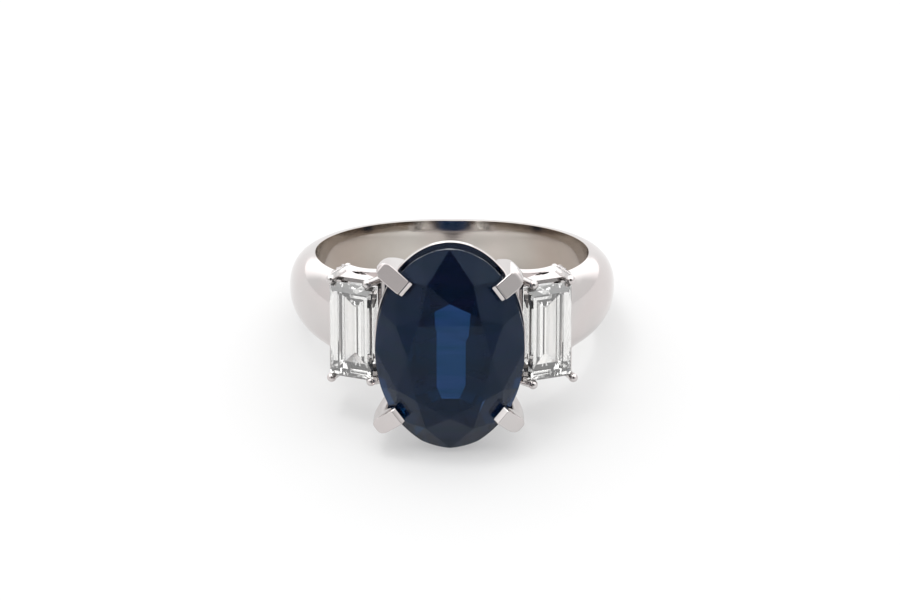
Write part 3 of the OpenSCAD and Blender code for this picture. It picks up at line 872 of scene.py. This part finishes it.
def cut_pavilion(rough):
    """Steps down to the keel, three plain facets at each end, and the keel's lifted upper end."""
    for i in range(PAVILION_SIDES):
        a = KEEL_HEADING if i == KEEL_SIDE else 2 * math.pi * i / PAVILION_SIDES
        heading = (math.cos(a), math.sin(a))
        wide = math.hypot(OVAL_HALF[0] * heading[0], OVAL_HALF[1] * heading[1])
        narrow = max(x * heading[0] + z * heading[1] for x, z in KEEL_CORNERS)
        steps = [(between(wide, narrow, share), -between(GIRDLE, PAVILION, deep))
                 for share, deep in PAVILION_STEPS]
        if abs(heading[1]) > END_FACING:
            steps = [steps[0], steps[-1]]
        for start, stop in zip(steps, steps[1:]):
            cut_sloped(rough, heading, start, stop)
    keel_end = (math.cos(KEEL_HEADING), math.sin(KEEL_HEADING))
    reach = KEEL_CORNERS[0][0] * keel_end[0] + KEEL_CORNERS[0][1] * keel_end[1] - KEEL_LIFT_LENGTH
    cut_sloped(rough, keel_end, (reach, -PAVILION), (reach + 1, math.tan(KEEL_LIFT) - PAVILION))


def cut_crown(rough):
    """Eight kites, and between each two of them a star at the table and two breaks at the girdle."""
    for i in range(8):
        here, there = 45 * i, 45 * (i + 1)
        lean = (1 - TABLE_SHARES[i]) / (CROWN - GIRDLE)
        a = math.radians(here)
        cut_flat(rough, (math.cos(a) / OVAL_HALF[0], math.sin(a) / OVAL_HALF[1], lean), 1 + lean * GIRDLE)
        meeting = bezel_meeting(i, between(GIRDLE, CROWN, CORNER_HEIGHT))
        half_way = round_point(1, here + 22.5, GIRDLE)
        table_here = round_point(TABLE_SHARES[i], here, CROWN)
        table_there = round_point(TABLE_SHARES[(i + 1) % 8], there, CROWN)
        cut_through(rough, table_here, table_there, meeting)
        cut_through(rough, meeting, round_point(1, here, GIRDLE), half_way)
        cut_through(rough, meeting, round_point(1, there, GIRDLE), half_way)


rough = start_rough(*SAPPHIRE_ROUGH)
cut_flat(rough, (0, 0, 1), CROWN)
cut_flat(rough, (0, 0, -1), PAVILION)
for i in range(GIRDLE_FACETS):
    a = 2 * math.pi * i / GIRDLE_FACETS
    cut_flat(rough, (math.cos(a) / OVAL_HALF[0], math.sin(a) / OVAL_HALF[1], 0), 1)
cut_pavilion(rough)
cut_crown(rough)
finish_stone("sapphire_stone", rough, lambda x, z, h: (x, -GIRDLE_HEIGHT - h, z), sapphire_blue,
             "sapphire")


# Diamonds
# Two step-cut colourless diamonds, one each side, cut in long parallel steps above and below the
# girdle down to a keel. Each rests in its open setting, held near its corners by four beads, in
# each of which a seat for the stone's edge is cut.

SEAT_GAP = 0.03
DIAMOND_STEPS = [(0.0, 0.05), (0.20, 0.27), (0.46, 0.46)]
DIAMOND_BASE_STEPS = [(0.0, -0.05), (0.22, -0.40), (0.52, -0.76), (0.95, -1.13), (1.54, -1.48)]
DIAMOND_TOP, DIAMOND_DEPTH = DIAMOND_STEPS[-1][1], -DIAMOND_BASE_STEPS[-1][1]

diamond_clear = gem_material(
    "colourless diamond", index=2.417, mirror=(1.0, 1.0, 1.0), tint_low=(0.98, 0.972, 0.945),
    tint_high=(1.0, 0.998, 0.985), haze=0.04)


def cut_steps(rough):
    cut_flat(rough, (0, 0, 1), DIAMOND_TOP)
    for heading, half in (((1, 0), STEP_WIDTH / 2), ((-1, 0), STEP_WIDTH / 2), ((0, 1), STEP_LENGTH / 2),
                          ((0, -1), STEP_LENGTH / 2)):
        for steps in (DIAMOND_STEPS, DIAMOND_BASE_STEPS):
            for start, stop in zip(steps, steps[1:]):
                cut_sloped(rough, heading, (half - start[0], start[1]), (half - stop[0], stop[1]))


def cut_bead_seats(stone, seat):
    """Cuts a slightly larger copy of the stone out of the beads, so that none touches the stone."""
    grown = stone.copy()
    bmesh.ops.remove_doubles(grown, verts=grown.verts, dist=FACET_MERGE)
    for vertex in grown.verts:
        x, z, h = vertex.co
        vertex.co = lay_down(seat(x * (1 + 2 * SEAT_GAP / STEP_WIDTH), z * (1 + 2 * SEAT_GAP / STEP_LENGTH),
                                  h * (1 + SEAT_GAP / DIAMOND_TOP)))
    grown.normal_update()
    bmesh.ops.recalc_face_normals(grown, faces=grown.faces)
    cutter = link_mesh("seat", [], [], [])
    grown.to_mesh(cutter.data)
    grown.free()
    cut_away(bead_claws, cutter)


for side, hand in ((1, "right"), (-1, "left")):
    rough = start_rough(STEP_WIDTH / 2, DIAMOND_DEPTH, STEP_LENGTH / 2)
    cut_steps(rough)

    def seat(x, z, h):
        p = beside(x, h, z)
        return (side * p.x, p.y, p.z)

    cut_bead_seats(rough, seat)
    finish_stone("diamond_stone_" + hand, rough, seat, diamond_clear, "diamond_" + hand)

sharpen(bead_claws, sharp=50.0)
finish_metal(bead_claws, polished, "mounting")


# Floor, light and camera
# A white sheet that gives off a little light of its own, a soft white tent with a darker side
# toward the viewer, one large lamp above, a dark card that only mirrors show, and the camera on
# a long lens a quarter of a metre from the ring.

FLOOR_HALF = 0.6
CARD_NEAR, CARD_LEFT, CARD_RIGHT, CARD_LOW, CARD_HIGH = -0.11, -0.028, 0.065, -0.012, 0.18
CARD_FADE_TOP, CARD_FOOT_TONE, CARD_TONE = 0.06, 0.26, 0.01
FRONT_START, FRONT_FULL = -0.28, -0.74
BACK_START, BACK_FULL = 0.62, 0.88
SIDE_LEVELS = [(0.0, 0.52), (0.28, 0.54), (0.55, 1.0), (1.0, 1.15)]
FRONT_LEVELS = [(0.0, 0.38), (0.5, 0.31), (0.8, 0.32), (1.0, 1.0)]
TENT_STRENGTH = 1.75
LAMP_PLACE, LAMP_TARGET = Vector((-0.08, 0.02, 0.30)), Vector((0, 0, 0.005))
LAMP_SIZE, LAMP_ENERGY = 0.09, 0.16
CAMERA_DISTANCE_MM = 250.0
CAMERA_LIFT, CAMERA_TURN = math.radians(19.0), math.radians(0.6)
SENSOR_WIDTH, PHOTO_WIDTH_PIXELS, FOCAL_LENGTH_PIXELS = 36.0, 900, 3968
SHIFT_RIGHT_PIXELS, SHIFT_UP_PIXELS = -2.0, -16.7


def stage_sheet(name, corners, material):
    sheet = link_mesh(name, corners, [], [(0, 1, 2, 3)])
    sheet.data.materials.append(material)
    return sheet


white, white_tree, white_shader = new_material("white sheet")
set_inputs(white_tree, white_shader, {"Base Color": (0.40, 0.40, 0.40, 1), "Emission Color": (1, 1, 1, 1),
                                      "Emission Strength": 0.36, "Roughness": 0.9, "Specular IOR Level": 0.1})
stage_sheet("floor", [(-FLOOR_HALF, -FLOOR_HALF, 0), (FLOOR_HALF, -FLOOR_HALF, 0),
                      (FLOOR_HALF, FLOOR_HALF, 0), (-FLOOR_HALF, FLOOR_HALF, 0)], white)

charcoal, card_tree, card_shader = new_material("charcoal card")
card_place = place_node(card_tree, "ShaderNodeTexCoord")["Object"]
card_height = place_node(card_tree, "ShaderNodeSeparateXYZ", {"Vector": card_place})["Z"]
card_tone = map_range(card_tree, card_height, 0.0, CARD_FADE_TOP, CARD_FOOT_TONE, CARD_TONE)
set_inputs(card_tree, card_shader, {"Base Color": card_tone, "Roughness": 1.0})
card = stage_sheet("dark_card", [
    (CARD_LEFT, CARD_NEAR, CARD_LOW), (CARD_RIGHT, CARD_NEAR, CARD_LOW),
    (CARD_RIGHT, CARD_NEAR, CARD_HIGH), (CARD_LEFT, CARD_NEAR, CARD_HIGH)], charcoal)
card.visible_camera = card.visible_shadow = card.visible_diffuse = card.visible_transmission = False

world = bpy.data.worlds.new("tent")
bpy.context.scene.world = world
world.use_nodes = True
tent_tree = world.node_tree
sky_place = place_node(tent_tree, "ShaderNodeTexCoord")["Generated"]
toward = place_node(tent_tree, "ShaderNodeSeparateXYZ", {"Vector": sky_place})


def tent_side(levels):
    """Brightness by height, from the horizon up: each pair is the height's sine and the level."""
    ramp = tent_tree.nodes.new("ShaderNodeValToRGB")
    ramp.color_ramp.elements.remove(ramp.color_ramp.elements[0])
    ramp.color_ramp.elements[0].position = levels[0][0]
    for position, level in levels[1:]:
        ramp.color_ramp.elements.new(position)
    for element, (position, level) in zip(ramp.color_ramp.elements, levels):
        element.color = (level, level, level, 1)
    tent_tree.links.new(toward["Z"], ramp.inputs["Fac"])
    return ramp.outputs["Color"]


back_share = map_range(tent_tree, toward["Y"], BACK_START, BACK_FULL, 0, 1, "SMOOTHSTEP")
front_share = map_range(tent_tree, toward["Y"], FRONT_START, FRONT_FULL, 0, 1, "SMOOTHSTEP")
tent = blend_colours(tent_tree, back_share, tent_side(SIDE_LEVELS), (1, 1, 1, 1))
tent = blend_colours(tent_tree, front_share, tent, tent_side(FRONT_LEVELS))
set_inputs(tent_tree, tent_tree.nodes["Background"], {"Color": tent, "Strength": TENT_STRENGTH})

lamp_data = bpy.data.lights.new("softbox", "AREA")
lamp_data.shape = "DISK"
lamp_data.size = LAMP_SIZE
lamp_data.energy = LAMP_ENERGY
lamp = bpy.data.objects.new("softbox", lamp_data)
bpy.context.scene.collection.objects.link(lamp)
lamp.location = LAMP_PLACE
lamp.rotation_mode = "QUATERNION"
lamp.rotation_quaternion = (LAMP_TARGET - LAMP_PLACE).to_track_quat("-Z", "Y")

back = Vector((math.sin(CAMERA_TURN) * math.cos(CAMERA_LIFT), -math.cos(CAMERA_TURN) * math.cos(CAMERA_LIFT),
               math.sin(CAMERA_LIFT)))
right = Vector((math.cos(CAMERA_TURN), math.sin(CAMERA_TURN), 0))
up = back.cross(right)
camera_data = bpy.data.cameras.new("camera")
camera_data.sensor_width = SENSOR_WIDTH
camera_data.lens = FOCAL_LENGTH_PIXELS / PHOTO_WIDTH_PIXELS * SENSOR_WIDTH
camera_data.shift_x = SHIFT_RIGHT_PIXELS / PHOTO_WIDTH_PIXELS
camera_data.shift_y = SHIFT_UP_PIXELS / PHOTO_WIDTH_PIXELS
camera_data.clip_start, camera_data.clip_end = 0.01, 10.0
camera = bpy.data.objects.new("camera", camera_data)
bpy.context.scene.collection.objects.link(camera)
origin = lay_down((0, 0, 0))
axes = [(lay_down(a) - origin) / MM for a in (right, up, back)]
camera_place = Matrix.Translation(lay_down(back * CAMERA_DISTANCE_MM))
camera.matrix_world = camera_place @ Matrix(axes).transposed().to_4x4()
bpy.context.scene.camera = camera
bpy.context.scene.view_settings.view_transform = "Standard"
